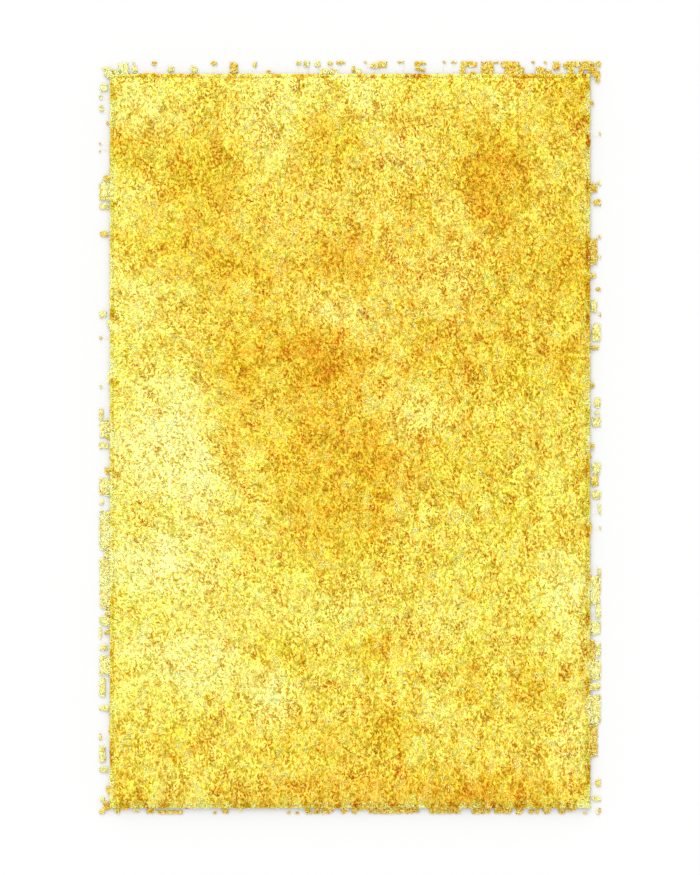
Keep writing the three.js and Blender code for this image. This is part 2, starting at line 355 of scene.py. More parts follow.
TOP_TUFTS = [Tuft(*row) for row in (
    (8, 16, 0.33, 0.54, CREAM),
    (10, 19, 0.02, 0.29, CREAM),
    (26, 38, 0.1, 0.4, CREAM),
    (34, 50, 0, 0.32, CREAM),
    (46, 58, 0.3, 0.8, CREAM),
    (52, 72, 0, 0.88, CREAM),
    (79, 86, 0.78, 1, CREAM),
    (79, 91, 0.08, 0.68, CREAM),
    (107, 136, 0, 0.1, AMBER),
    (126, 138, 0.7, 1, AMBER),
    (165, 179, 0.15, 0.55, PALE),
    (220, 236, 0.1, 0.65, PALE),
    (267, 282, 0.65, 1, GOLD),
    (313, 332, 0.05, 0.9, AMBER),
    (368, 377, 0.5, 0.9, GOLD),
    (401, 411, 0, 0.3, GOLD),
    (471, 483, 0.7, 1, PALE),
    (490, 504, 0.55, 1, PALE),
    (516, 530, 0.55, 1, PALE),
    (547, 558, 0.7, 0.95, GOLD),
    (566, 588, 0.75, 1, GOLD),
    (528, 552, 0, 0.4, PALE),
    (554, 569, 0, 0.45, PALE),
    (604, 612, 0.1, 0.6, GOLD),
    (612, 628, 0, 0.4, PALE),
    (633, 640, 0.85, 1, GOLD),
    (647, 667, 0.45, 0.85, PALE),
    (664, 688, 0.45, 1, AMBER),
    (712, 731, 0.88, 1, GOLD),
    (755, 781, 0.7, 1, AMBER),
    (755, 766, 0.3, 0.75, AMBER),
    (762, 781, 0.2, 0.4, AMBER),
    (822, 829, 0.85, 1, GOLD),
    (841, 855, 0.85, 1, GOLD),
    (863, 875, 0, 1, AMBER),
    (870, 903, 0.55, 1, AMBER),
    (886, 901, 0, 0.2, AMBER),
    (913, 944, 0, 1, AMBER),
    (943, 955, 0.8, 1, AMBER),
    (961, 1006, 0.5, 1, AMBER),
    (970, 1015, 0, 0.6, AMBER),
    (1032, 1042, 0.85, 1, AMBER),
    (1044, 1068, 0, 0.55, AMBER),
    (1068, 1082, 0, 0.3, AMBER),
    (1063, 1071, 0.8, 1, AMBER),
    (1085, 1102, 0.3, 0.95, AMBER),
    (1109, 1121, 0.4, 0.8, AMBER),
    (1118, 1137, 0, 1, AMBER),
    (1133, 1152, 0.55, 1, AMBER),
    (1146, 1159, 0, 0.5, AMBER),
    (1152, 1178, 0.3, 1, AMBER),
    (1176, 1190, 0, 0.6, AMBER),
    (1188, 1198, 0.6, 1, AMBER),
)]
BOTTOM_TUFTS = [Tuft(*row) for row in (
    (1, 14, 0.3, 1, AMBER),
    (12, 26, 0, 0.35, AMBER),
    (38, 50, 0, 1, AMBER),
    (50, 71, 0, 0.3, GOLD),
    (83, 95, 0, 0.7, PALE),
    (114, 134, 0, 1, AMBER),
    (138, 200, 0.4, 1, AMBER),
    (273, 281, 0.6, 1, AMBER),
    (294, 309, 0, 1, AMBER),
    (333, 341, 0, 0.6, PALE),
    (449, 459, 0.6, 1, AMBER),
    (469, 478, 0.65, 1, AMBER),
    (492, 506, 0, 1, AMBER),
    (506, 516, 0.7, 1, AMBER),
    (516, 526, 0, 1, AMBER),
    (530, 561, 0, 1, AMBER),
    (578, 596, 0, 1, AMBER),
    (604, 619, 0, 1, AMBER),
    (619, 645, 0, 0.4, GOLD),
    (645, 765, 0, 1, AMBER),
    (788, 865, 0, 1, AMBER),
    (891, 937, 0, 1, AMBER),
    (944, 987, 0, 1, AMBER),
    (996, 1014, 0, 1, AMBER),
    (1027, 1039, 0.3, 0.9, AMBER),
    (1042, 1051, 0, 1, AMBER),
    (1061, 1080, 0, 1, AMBER),
    (1097, 1116, 0, 1, AMBER),
    (1116, 1142, 0, 0.5, AMBER),
    (1158, 1168, 0.7, 1, AMBER),
    (1188, 1198, 0.65, 1, PALE),
)]
RIM_SIDES = [
    Side((PILE_LEFT, RUG_TOP), (0, -1), (-1, 0), SIDE_MARGIN, LEFT_TUFTS),
    Side((PILE_RIGHT, RUG_TOP), (0, -1), (1, 0), SIDE_MARGIN, RIGHT_TUFTS),
    Side((RUG_LEFT, PILE_TOP), (1, 0), (0, 1), TOP_MARGIN, TOP_TUFTS),
    Side((RUG_LEFT, PILE_BOTTOM), (1, 0), (0, -1), BOTTOM_MARGIN, BOTTOM_TUFTS),
]

# Curls of the tufts, the pads under them and the thin stems that tie them to the pile
RIM_DENSITY = 1.5e5
FEWEST_CURLS = 4
RIM_RADIUS = 1.3 * MM
RIM_RADII = (0.75, 1.15)
RIM_STEP = 3.6 * MM
RIM_STEPS = 3
RIM_TURN = math.radians(75)
RIM_RAGGED = 5.0 * MM
RIM_LOW = 1.7 * MM
RIM_OVER = 1.3 * MM
RIM_RISE = 2.8 * MM
RIM_ARCH = 0.8 * MM
RIM_GAP = 0.2 * MM
RIM_INSET = 1.5 * MM
RIM_SPREAD = 0.14
RIM_TONES = (0.63, 0.68, 0.87, 1.0)
RIM_WARMTHS = (1.0, 0.85, 0.50, 0.30)
RIM_DULL_SHARE = 0.06
RIM_DULLNESS = (0.3, 0.9)
HOLES_OVER = 150 * MM * MM
HOLE_CELL = 9 * MM
HOLE_DEPTH = -0.8
UNDER_SHARE = 0.3
UNDER_THICKNESS = 1.5
LEAST_LIFT = 0.25
FLOW_RISE = 6 * MM
FLOW_REACH = 14 * MM
FLOW_CURVE = 1.5
FLOW_SHARES = (0.1, 1.4)
CURLS_START = -6 * MM
PAD_START = -4 * MM
PAD_INSET = 0.08
PAD_POINTS = 5
PAD_ROUND = 0.35
PAD_THICKNESS = 1.6 * MM
PAD_FALL = 0.7
PAD_FLOW = 0.5
# Pads are darker than their tuft's curls: painted shade under the curls
PAD_PAINTED_SHADE = -0.10
STEM_NEAR = 0.12
STEM_EVERY = 25 * MM
STEM_RADIUS = 0.3 * MM
STEM_LEAN = 3 * MM
STEM_START = -4 * MM
STEM_INTO = 6 * MM
STEM_RISE = 5 * MM

# Strands that hang over the pile's edge. Each station is a place out from the edge, how far the strand
# has fallen there, and its share of the strand's lean
EDGE_SPACING = 1.5 * MM
EDGE_RADIUS = 1.8 * MM
EDGE_RADII = (0.7, 1.0)
EDGE_STATIONS = [(-10 * MM, 0.5, 0), (-6.5 * MM, 0.0, 0.2), (-2.2 * MM, 0.1, 0.7), (-1.6 * MM, 0.9, 1)]
EDGE_LEAN = 5 * MM
EDGE_LENGTHS = (0.4, 1.5)
EDGE_INSET = 1.6 * MM
EDGE_SINK = 0.8 * MM
EDGE_FOOT = 2 * MM
SPARED_FALL = 0.55

# Where streaks and grain slant, in degrees from +X. Elsewhere they run along the rug
SLANT = Patch(-0.42, 0, 0.3, 0.6, -34)
GRAIN_SLANT = -14
GRAIN_STRETCH = 2.1
GRAIN_SCALE = 250

# Camera and light. The photo is 875 pixels high, and the rug covers 502 of its width
CAMERA_LENS = 135
SENSOR = 36
FARTHEST_SEEN = 100
PICTURE_HEIGHT = 875
RUG_PIXELS = 502
SUN_STRENGTH = 1.9
SUN_ELEVATION = math.radians(34)
SUN_AZIMUTH = math.radians(105)
SUN_SOFTNESS = math.radians(42)
SKY_STRENGTH = 1.352
FLOOR_SIZE = 30
FLOOR_DROP = 0.3 * MM
FLOOR_GREY = (0.593, 0.593, 0.593)


def smooth_noise(x, y, cell, seed):
    """Smooth noise from -1 to 1 with features of about one cell."""
    side = 128
    table = np.random.default_rng(seed).uniform(-1, 1, (side, side))
    u = np.asarray(x) / cell + side * 4.37
    v = np.asarray(y) / cell + side * 4.71
    i = np.floor(u).astype(int)
    j = np.floor(v).astype(int)
    f = u - i
    g = v - j
    f = f * f * (3 - 2 * f)
    g = g * g * (3 - 2 * g)
    i0, i1 = i % side, (i + 1) % side
    j0, j1 = j % side, (j + 1) % side
    low = table[i0, j0] * (1 - f) + table[i1, j0] * f
    high = table[i0, j1] * (1 - f) + table[i1, j1] * f
    return low * (1 - g) + high * g


def patch_reach(patch, x, y):
    """How far each place is from a patch's middle, squared, with 1 at the patch's rim."""
    return ((x - patch.x) / patch.across) ** 2 + ((y - patch.y) / patch.along) ** 2


def drift(patches, x, y):
    """The sum of some broad patches with ragged edges at each place."""
    px = x + smooth_noise(x, y, RAGGED_CELL, SEED + 5) * RAGGED_REACH
    py = y + smooth_noise(x, y, RAGGED_CELL, SEED + 6) * RAGGED_REACH
    total = np.zeros_like(x)
    for patch in patches:
        total += patch.value * np.exp(-(patch_reach(patch, px, py) ** DRIFT_SHARPNESS) * DRIFT_FALL)
    return total


def drift_tone(x, y):
    """The broad drift of tone at each place."""
    return drift(DRIFTS, x, y) * DRIFT_STRENGTH


def warmth(x, y):
    """How far the dye leans from lemon, 0, to orange, 1, at each place."""
    patches = smooth_noise(x, y, WARM_CELL, SEED + 12) * WARM_SPREAD
    return MIDDLE_WARMTH + drift(WARM_DRIFTS, x, y) + patches


def streaks(x, y, way, seed):
    """Noise drawn out along one way."""
    along = x * math.cos(way) + y * math.sin(way)
    across = y * math.cos(way) - x * math.sin(way)
    return smooth_noise(along / STREAK_LENGTH, across / STREAK_WIDTH, 1, seed)


def slant_share(x, y):
    """How far the grain slants at each place, from 0 to 1."""
    return np.exp(-patch_reach(SLANT, x, y))


def streak_tone(x, y):
    """Streaks along the rug, slanting in its left part."""
    share = slant_share(x, y)
    slant = streaks(x, y, math.radians(SLANT.value), SEED + 7)
    upright = streaks(x, y, math.radians(90), SEED + 8)
    return slant * share + upright * (1 - share)


def pile_way(x, y):
    """The angle that the pile lies along at each place, before a strand's own jitter."""
    east = np.zeros_like(x)
    north = np.zeros_like(x)
    for patch in WAYS:
        weight = np.exp(-patch_reach(patch, x, y)) + 1e-6
        east += weight * math.cos(math.radians(patch.value))
        north += weight * math.sin(math.radians(patch.value))
    swirl = smooth_noise(x, y, SWIRL_CELL, SEED + 1) * WAY_SWIRL
    return np.arctan2(north, east) + swirl


class Surface:
    """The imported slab's top surface, read on a grid by rays from above."""

    def __init__(self, node, cell):
        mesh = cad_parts[node].data
        points = [v.co.copy() for v in mesh.vertices]
        tree = BVHTree.FromPolygons(points, [tuple(p.vertices) for p in mesh.polygons])
        self.cell = cell
        self.columns = int((RUG_RIGHT - RUG_LEFT) / cell) + 2
        self.rows = int((RUG_TOP - RUG_BOTTOM) / cell) + 2
        above = float(node_high[2]) + 0.1
        down = Vector((0, 0, -1))
        self.heights = np.zeros((self.columns, self.rows))
        for i in range(self.columns):
            for j in range(self.rows):
                start = Vector((RUG_LEFT + i * cell, RUG_BOTTOM + j * cell, above))
                hit = tree.ray_cast(start, down)[0]
                if hit is not None:
                    self.heights[i, j] = hit.z
        self.middle = float(np.median(self.heights))

    def at(self, x, y):
        """The pile's height at each place: the slab's, with a tighter fall at the pile's own edges."""
        inner_x = np.clip(x, PILE_LEFT + EDGE_READ, PILE_RIGHT - EDGE_READ)
        inner_y = np.clip(y, PILE_BOTTOM + EDGE_READ, PILE_TOP - EDGE_READ)
        inside = np.clip(edge_distance(x, y) / EDGE_FALL, 0, 1)
        share = EDGE_SHARE + (1 - EDGE_SHARE) * inside ** EDGE_CURVE
        height = self.read(inner_x, inner_y)
        return (self.middle + (height - self.middle) * RELIEF) * share

    def read(self, x, y):
        """The slab's height at each place, between grid points."""
        u = np.clip((x - RUG_LEFT) / self.cell, 0, self.columns - 1.001)
        v = np.clip((y - RUG_BOTTOM) / self.cell, 0, self.rows - 1.001)
        i = u.astype(int)
        j = v.astype(int)
        f = u - i
        g = v - j
        low = self.heights[i, j] * (1 - f) + self.heights[i + 1, j] * f
        high = self.heights[i, j + 1] * (1 - f) + self.heights[i + 1, j + 1] * f
        return low * (1 - g) + high * g


def edge_distance(x, y):
    """How far inside the dense pile's edge each place is."""
    sideways = np.minimum(x - PILE_LEFT, PILE_RIGHT - x)
    lengthways = np.minimum(y - PILE_BOTTOM, PILE_TOP - y)
    return np.minimum(sideways, lengthways)


def add_mesh(name, points, loop_starts, loops, material, smooth=True):
    """A mesh object from flat arrays of points, face starts and corner points."""
    mesh = bpy.data.meshes.new(name)
    corners = np.asarray(loops, np.int32).ravel()
    mesh.vertices.add(len(points))
    mesh.vertices.foreach_set("co", np.asarray(points, np.float32).ravel())
    mesh.loops.add(len(corners))
    mesh.loops.foreach_set("vertex_index", corners)
    mesh.polygons.add(len(loop_starts))
    mesh.polygons.foreach_set("loop_start", np.asarray(loop_starts, np.int32))
    mesh.polygons.foreach_set("use_smooth", np.full(len(loop_starts), smooth))
    mesh.materials.append(material)
    mesh.update(calc_edges=True)
    obj = bpy.data.objects.new(name, mesh)
    bpy.context.scene.collection.objects.link(obj)
    return obj


def add_value(obj, name, values):
    """A number for each point that the material reads by name."""
    attribute = obj.data.attributes.new(name, "FLOAT", "POINT")
    attribute.data.foreach_set("value", np.asarray(values, np.float32).ravel())


def strand_faces(rings):
    """The corners of one strand's faces: tubes of three sides, a root cap and a pointed tip."""
    faces = [(2, 1, 0)]
    for ring in range(rings - 1):
        for side in range(STRAND_SIDES):
            a = ring * STRAND_SIDES + side
            b = ring * STRAND_SIDES + (side + 1) % STRAND_SIDES
            faces.append((a, b, b + STRAND_SIDES, a + STRAND_SIDES))
    last = (rings - 1) * STRAND_SIDES
    for side in range(STRAND_SIDES):
        faces.append((last + side, last + (side + 1) % STRAND_SIDES, last + STRAND_SIDES))
    return faces


def strand_corner_uvs(rings):
    """Where each corner lies in a strand's own cell of the map: around it, then along it."""
    start, length, width = 0.05, 0.9, 0.28
    corners = [(0.98, 0.02), (0.9, 0.02), (0.94, 0.06)]
    for ring in range(rings):
        low = start + length * ring / rings
        high = start + length * (ring + 1) / rings
        for side in range(STRAND_SIDES):
            left = start + width * side
            corners += [(left, low), (left + width, low)]
            if ring < rings - 1:
                corners += [(left + width, high), (left, high)]
            else:
                corners.append((left + width / 2, start + length))
    return np.array(corners)


def strand_points(stations, radii):
    """The corners of each strand's rings, and its tip."""
    rings = stations.shape[1] - 1
    along = np.gradient(stations, axis=1)
    along /= np.linalg.norm(along, axis=2, keepdims=True) + 1e-9
    side = np.cross(along, np.array([0.02, 0.01, 1.0]))
    side /= np.linalg.norm(side, axis=2, keepdims=True) + 1e-9
    over = np.cross(side, along)
    points = np.zeros((len(stations), rings * STRAND_SIDES + 1, 3))
    for corner in range(STRAND_SIDES):
        angle = math.radians(90 + 120 * corner)
        offset = math.cos(angle) * side + math.sin(angle) * over
        ring_points = stations[:, :rings] + offset[:, :rings] * radii[:, :, None]
        points[:, corner:rings * STRAND_SIDES:STRAND_SIDES] = ring_points
    points[:, -1] = stations[:, -1]
    return points


def strands(name, stations, radii, tone, warm, dull_and_shade, material):
    """One mesh of closed, tapered yarn strands. stations is (strand, station, 3), the last one the tip."""
    count = len(stations)
    rings = stations.shape[1] - 1
    lowest = np.concatenate([radii, radii[:, -1:]], axis=1) + FLOOR_GAP
    stations[:, :, 2] = np.maximum(stations[:, :, 2], lowest)
    points = strand_points(stations, radii)
    per_strand = points.shape[1]
    faces = strand_faces(rings)
    corners = np.concatenate([np.array(face) for face in faces])
    face_starts = np.cumsum([0] + [len(face) for face in faces])[:-1]
    each = np.arange(count)[:, None]
    loops = corners[None, :] + each * per_strand
    starts = face_starts[None, :] + each * len(corners)
    obj = add_mesh(name, points.reshape(-1, 3), starts.ravel(), loops.ravel(), material)
    slant = slant_share(stations[:, 0, 0], stations[:, 0, 1])
    own = {"tone": tone, "warm": np.clip(warm, 0, 1), "slant": slant, "dull_and_shade": dull_and_shade}
    for key, values in own.items():
        add_value(obj, key, np.repeat(values, per_strand))
    reach = np.append(np.repeat(np.arange(rings) / rings, STRAND_SIDES), 1.0)
    add_value(obj, "reach", np.tile(reach, count))
    cells = math.ceil(math.sqrt(count))
    place = np.stack([np.arange(count) % cells, np.arange(count) // cells], axis=1)
    uvs = (strand_corner_uvs(rings)[None] + place[:, None]) / cells
    layer = obj.data.uv_layers.new(name="OFBake")
    layer.data.foreach_set("uv", uvs.astype(np.float32).ravel())
    return obj


# Materials: the dye's colours, how yarn and its roots are drawn, and the shade painted into the yarn's
# colour

LEMON_TONES = [
    (0.0, (0.46, 0.13, 0.001)),
    (0.12, (0.55, 0.38, 0.001)),
    (0.32, (0.66, 0.61, 0.004)),
    (0.52, (0.73, 0.78, 0.095)),
    (0.72, (0.785, 0.87, 0.29)),
    (0.88, (0.83, 0.91, 0.45)),
    (1.0, (0.88, 0.95, 0.58)),
]
ORANGE_TONES = [
    (0.0, (0.46, 0.04, 0.001)),
    (0.12, (0.60, 0.18, 0.001)),
    (0.32, (0.71, 0.34, 0.002)),
    (0.52, (0.80, 0.525, 0.050)),
    (0.72, (0.85, 0.68, 0.165)),
    (0.88, (0.88, 0.81, 0.36)),
    (1.0, (0.90, 0.90, 0.51)),
]
# Deep amber that the yarn turns to in its painted shade, and that a few dull strands lean to
SHADE_AND_DULL_AMBER = (0.56, 0.32, 0.001)
SPECK_NOISE = (0.30, 0.56)
PALE_SPECKS = 0.15
MOTTLE = 0.28
RIM_MOTTLE = 0.3
ROOT_SPECKS = 0.38
# How far up a strand the painted root shade reaches, and the upward facings over which the painted side
# shade fades out
ROOT_SHADE_REACH = 0.72
SIDE_SHADE_FACING = (-0.2, 0.5)
YARN_ROUGHNESS = 0.62
YARN_GLOSS = 0.02
ROOT_ROUGHNESS = 0.85
MATT = 0.9
BACKING_TONES = [(0.0, (0.36, 0.28, 0.15)), (0.5, (0.58, 0.48, 0.29)), (1.0, (0.70, 0.61, 0.41))]
WEAVE_SCALE = 130


class Shading:
    """A node material in the making, with short ways to add and feed its nodes."""

    def __init__(self, name):
        self.material = bpy.data.materials.new(name)
        self.material.use_nodes = True
        self.tree = self.material.node_tree

    def feed(self, node, inputs):
        """Fills a node's inputs: another node's output is linked, and a plain value is set."""
        for key, value in inputs.items():
            if isinstance(value, bpy.types.NodeSocket):
                self.tree.links.new(value, node.inputs[key])
            else:
                node.inputs[key].default_value = value

    def add(self, kind, inputs, **settings):
        """A new node of one kind."""
        node = self.tree.nodes.new(kind)
        for key, value in settings.items():
            setattr(node, key, value)
        self.feed(node, inputs)
        return node

    def finished(self, inputs):
        """The material, with its main shader fed."""
        self.feed(self.tree.nodes["Principled BSDF"], inputs)
        return self.material

    def place(self):
        """Each place on the object."""
        return self.add("ShaderNodeTexCoord", {}).outputs["Object"]

    def number(self, name):
        """A number that the mesh holds for each point."""
        return self.add("ShaderNodeAttribute", {}, attribute_name=name).outputs["Fac"]

    def mapped(self, value, source, target):
        """A value turned from one range into another, stopping at its ends."""
        ends = dict(zip(("From Min", "From Max", "To Min", "To Max"), (*source, *target)))
        return self.add("ShaderNodeMapRange", {"Value": value, **ends}).outputs["Result"]

    def joined(self, operation, one, other, **settings):
        """The sum, product or the like of two values."""
        return self.add("ShaderNodeMath", {0: one, 1: other}, operation=operation, **settings).outputs[0]

    def mixed(self, kind, share, one, other):
        """One number or colour that turns into another by a share."""
        inputs = {"Factor": share, "A": one, "B": other}
        return self.add("ShaderNodeMix", inputs, data_type=kind).outputs["Result"]

    def coloured(self, value, stops):
        """The colour for a value, from rows of places and colours."""
        node = self.add("ShaderNodeValToRGB", {"Fac": value})
        elements = node.color_ramp.elements
        while len(elements) < len(stops):
            elements.new(0.5)
        for element, (place, colour) in zip(elements, stops):
            element.position = place
            element.color = (*colour, 1)
        return node.outputs["Color"]

    def bumps(self, height, distance, strength):
        """Bumps whose height a value gives."""
        inputs = {"Height": height, "Distance": distance, "Strength": strength}
        return self.add("ShaderNodeBump", inputs).outputs["Normal"]


def dyed(shading, tone):
    """The dye's colour for a tone, between its lemon and its orange row of colours."""
    rows = [shading.coloured(tone, stops) for stops in (LEMON_TONES, ORANGE_TONES)]
    return shading.mixed("RGBA", shading.number("warm"), *rows)


def grain(shading, detail, distortion):
    """Noise drawn out along the pile: upright, and slanting where the pile does."""
    place = shading.place()
    rows = []
    for way in (90, GRAIN_SLANT):
        turn = {"Vector": place, "Rotation": (0, 0, math.radians(way)), "Scale": (GRAIN_STRETCH, 1, 1)}
        turned = shading.add("ShaderNodeMapping", turn, vector_type="TEXTURE").outputs["Vector"]
        noise = {"Vector": turned, "Scale": GRAIN_SCALE, "Detail": detail, "Distortion": distortion}
        rows.append(shading.add("ShaderNodeTexNoise", noise).outputs["Fac"])
    return shading.mixed("FLOAT", shading.number("slant"), *rows)


def speckled_tone(shading, noise, depth):
    """The yarn's own tone with darker specks of the given depth."""
    specks = shading.mapped(noise, SPECK_NOISE, (-depth, depth * PALE_SPECKS))
    return shading.joined("ADD", specks, shading.number("tone"))


def yarn_material(name, mottling, root_painted_shade, side_painted_shade):
    """Dyed yarn: its own tone and warmth, finely mottled, with deep amber painted shade at its root and on
    its sides that face away from above.
    """
    shading = Shading(name)
    colour = dyed(shading, speckled_tone(shading, grain(shading, 1, 0), mottling))
    # Painted shade: deep amber mixed in near each strand's root and on its faces that turn away from above
    root = shading.mapped(shading.number("reach"), (0, ROOT_SHADE_REACH), (root_painted_shade, 0))
    normal = shading.add("ShaderNodeNewGeometry", {}).outputs["Normal"]
    upward = shading.add("ShaderNodeSeparateXYZ", {"Vector": normal}).outputs["Z"]
    side = shading.mapped(upward, SIDE_SHADE_FACING, (side_painted_shade, 0))
    shade = shading.joined("MAXIMUM", root, side)
    # How far the yarn turns to deep amber: its painted shade, plus the strand's own dullness and painted
    # shade
    shade_and_dull_share = shading.joined("ADD", shade, shading.number("dull_and_shade"), use_clamp=True)
    return shading.finished({
        "Base Color": shading.mixed("RGBA", shade_and_dull_share, colour, (*SHADE_AND_DULL_AMBER, 1)),
        "Roughness": YARN_ROUGHNESS,
        "Specular IOR Level": YARN_GLOSS,
    })


def bed_material():
    """The shaded mass of yarn roots below the strands."""
    shading = Shading("yarn_roots")
    fibres = grain(shading, 2, 1)
    return shading.finished({
        "Base Color": dyed(shading, speckled_tone(shading, fibres, ROOT_SPECKS)),
        "Normal": shading.bumps(fibres, 2 * MM, 0.7),
        "Roughness": ROOT_ROUGHNESS,
    })


def backing_material():
    """Plain woven backing cloth in a natural straw colour."""
    shading = Shading("woven_backing")
    inputs = {"Vector": shading.place(), "Scale": WEAVE_SCALE}
    threads = []
    for axis in ("X", "Y"):
        wave = shading.add("ShaderNodeTexWave", inputs, wave_type="BANDS", bands_direction=axis)
        threads.append(wave.outputs["Fac"])
    weave = shading.joined("MULTIPLY", *threads)
    return shading.finished({
        "Base Color": shading.coloured(weave, BACKING_TONES),
        "Normal": shading.bumps(weave, 0.6 * MM, 0.8),
        "Roughness": MATT,
    })


def floor_material():
    """A plain matt floor."""
    looks = {"Base Color": (*FLOOR_GREY, 1), "Roughness": MATT, "Specular IOR Level": 0}
    return Shading("white_floor").finished(looks)


# Pieces

def grid_faces(columns, rows):
    """The faces of a closed body over a grid: a top, an underside and the walls between."""
    i, j = np.meshgrid(np.arange(columns - 1), np.arange(rows - 1), indexing="ij")
    a = (i * rows + j).ravel()
    cells = np.stack([a, a + rows, a + rows + 1, a + 1], axis=1)
    shift = columns * rows
    under = cells[:, ::-1] + shift
    rim = [k * rows for k in range(columns)]
    rim += [(columns - 1) * rows + k for k in range(1, rows)]
    rim += [k * rows + rows - 1 for k in range(columns - 2, -1, -1)]
    rim += [k for k in range(rows - 2, 0, -1)]
    rim = np.array(rim)
    after = np.roll(rim, -1)
    walls = np.stack([rim, rim + shift, after + shift, after], axis=1)
    return np.concatenate([cells, under, walls])


def grid_body(name, xs, ys, top, bottom, material):
    """A closed body over a grid of places: a top, a flat or shaped underside, and walls between."""
    gx, gy = np.meshgrid(xs, ys, indexing="ij")
    upper = np.stack([gx, gy, top], axis=2).reshape(-1, 3)
    lower = np.stack([gx, gy, bottom], axis=2).reshape(-1, 3)
    quads = grid_faces(len(xs), len(ys))
    return add_mesh(name, np.concatenate([upper, lower]), np.arange(len(quads)) * 4, quads, material)


def spaced(low, high, cell):
    """Even places from low to high, about one cell apart."""
    return np.linspace(low, high, max(2, round((high - low) / cell) + 1))


def make_backing(material):
    """The woven cloth that the yarns are tufted into."""
    xs = spaced(PILE_LEFT + BACKING_INSET, PILE_RIGHT - BACKING_INSET, BACKING_CELL)
    ys = spaced(PILE_BOTTOM + BACKING_INSET, PILE_TOP - BACKING_INSET, BACKING_CELL)
    flat = np.zeros((len(xs), len(ys)))
    piece = grid_body("backing", xs, ys, flat + BACKING_THICKNESS, flat, material)
    return piece, (xs[-1] - xs[0], ys[-1] - ys[0])


def make_bed(surface, material):
    """The lumpy mass of yarn roots, below the tips of the strands."""
    xs = spaced(PILE_LEFT + BED_INSET, PILE_RIGHT - BED_INSET, BED_CELL)
    ys = spaced(PILE_BOTTOM + BED_INSET, PILE_TOP - BED_INSET, BED_CELL)
    gx, gy = np.meshgrid(xs, ys, indexing="ij")
    lumps = smooth_noise(gx, gy, BED_LUMP_CELL, SEED + 2) * BED_LUMPS
    top = np.maximum(surface.at(gx, gy) - BED_DEPTH + lumps, BACKING_THICKNESS + MM)
    bottom = np.full_like(top, BACKING_THICKNESS + BED_GAP)
    bed = grid_body("pile_roots", xs, ys, top, bottom, material)
    # Paler towards the pile's edge: painted light
    tone = np.clip(MIDDLE_TONE + drift_tone(gx, gy) + EDGE_PAINTED_LIGHT * near_edge(gx, gy), *BED_TONES)
    # A little more orange than the strands: painted shade hue in the hollows
    warm = np.clip(warmth(gx, gy) + BED_SHADE_WARMTH, 0, 1)
    for key, values in (("tone", tone), ("warm", warm), ("slant", slant_share(gx, gy))):
        add_value(bed, key, np.concatenate([values.ravel()] * 2))
    return bed


def near_edge(x, y):
    """1 at the pile's edge, falling to 0 a little way inside it."""
    return np.clip(1 - edge_distance(x, y) / EDGE_REACH, 0, 1)


def softened(values, share):
    """The values, with those above 0 brought nearer to it."""
    return np.where(values > 0, values * share, values)


def strand_tones(x, y, lift, rng):
    """Each strand's place between rust, amber, gold and cream: its own tone, paler where it lies high and
    deeper where it lies low, and paler near the pile's edge and bottom, as painted light and shade.
    """
    tone = MIDDLE_TONE + drift_tone(x, y) + softened(streak_tone(x, y) * STREAK_SPREAD, PALER_STREAKS)
    tone += softened(smooth_noise(x, y, PATCH_CELL, SEED + 4) * PATCH_SPREAD, PALER_PATCHES)
    own = smooth_noise(x, y, FINE_CELL, SEED + 3) * FINE_SPREAD + rng.normal(0, STRAND_SPREAD, len(x))
    # Paler when it lies high, deeper when it lies low: painted light and shade
    own += LIFT_LIGHT_AND_SHADE * np.clip(lift / LIFT_SPREAD, -2, 2)
    tone += softened(own, PALER_SHARE)
    # Paler towards the pile's edge: painted light
    tone += EDGE_PAINTED_LIGHT * near_edge(x, y)
    # Paler towards the bottom edge: painted light
    tone += BOTTOM_PAINTED_LIGHT * np.clip(1 - (y - PILE_BOTTOM) / BOTTOM_LIGHT_REACH, 0, 1)
    far = np.minimum(np.hypot((x - RUST_X) / RUST_WIDTH, (y - RUST_Y) / RUST_LENGTH), 1)
    rusty = smooth_noise(x, y, RUST_CELL, SEED + 9) > RUST_PLACES + RUST_FAR * far
    rust = rusty & (rng.random(len(x)) < RUST_SHARE)
    tone = np.minimum(tone, SOFT_TONE) + np.maximum(tone - SOFT_TONE, 0) * SOFT_SHARE
    return np.where(rust, RUST_TONE, np.clip(tone, DARKEST_TONE, 1))


def strand_dullness_and_shade(x, y, lift, rng):
    """How far each strand leans to amber: a few do at random, those that lie low do as painted shade, and
    at the pile's edge the painted shade is taken away.
    """
    few = (rng.random(len(lift)) < DULL_SHARE) * rng.uniform(0.5, 1, len(lift))
    # Painted shade on strands that lie low
    sunk_shade = SUNK_PAINTED_SHADE * np.clip(-lift / LIFT_SPREAD, 0, 2)
    # Near the pile's edge the painted shade is taken away
    return few + sunk_shade + EDGE_SHADE_TAKEN_AWAY * near_edge(x, y)


def spread_places(count, rng):
    """Jittered places, evenly over the dense pile and a little past its edges."""
    width = PILE_RIGHT - PILE_LEFT + 2 * ROOTS_PAST
    length = PILE_TOP - PILE_BOTTOM + 2 * ROOTS_PAST
    columns = round(math.sqrt(count * width / length))
    rows = round(count / columns)
    gx, gy = np.meshgrid(np.arange(columns), np.arange(rows), indexing="ij")
    x = PILE_LEFT - ROOTS_PAST + (gx.ravel() + rng.random(gx.size)) * width / columns
    y = PILE_BOTTOM - ROOTS_PAST + (gy.ravel() + rng.random(gx.size)) * length / rows
    return x, y


def turned_back(values, low, high):
    """Values past either limit, folded back inside it."""
    return high - np.abs(high - (low + np.abs(values - low)))


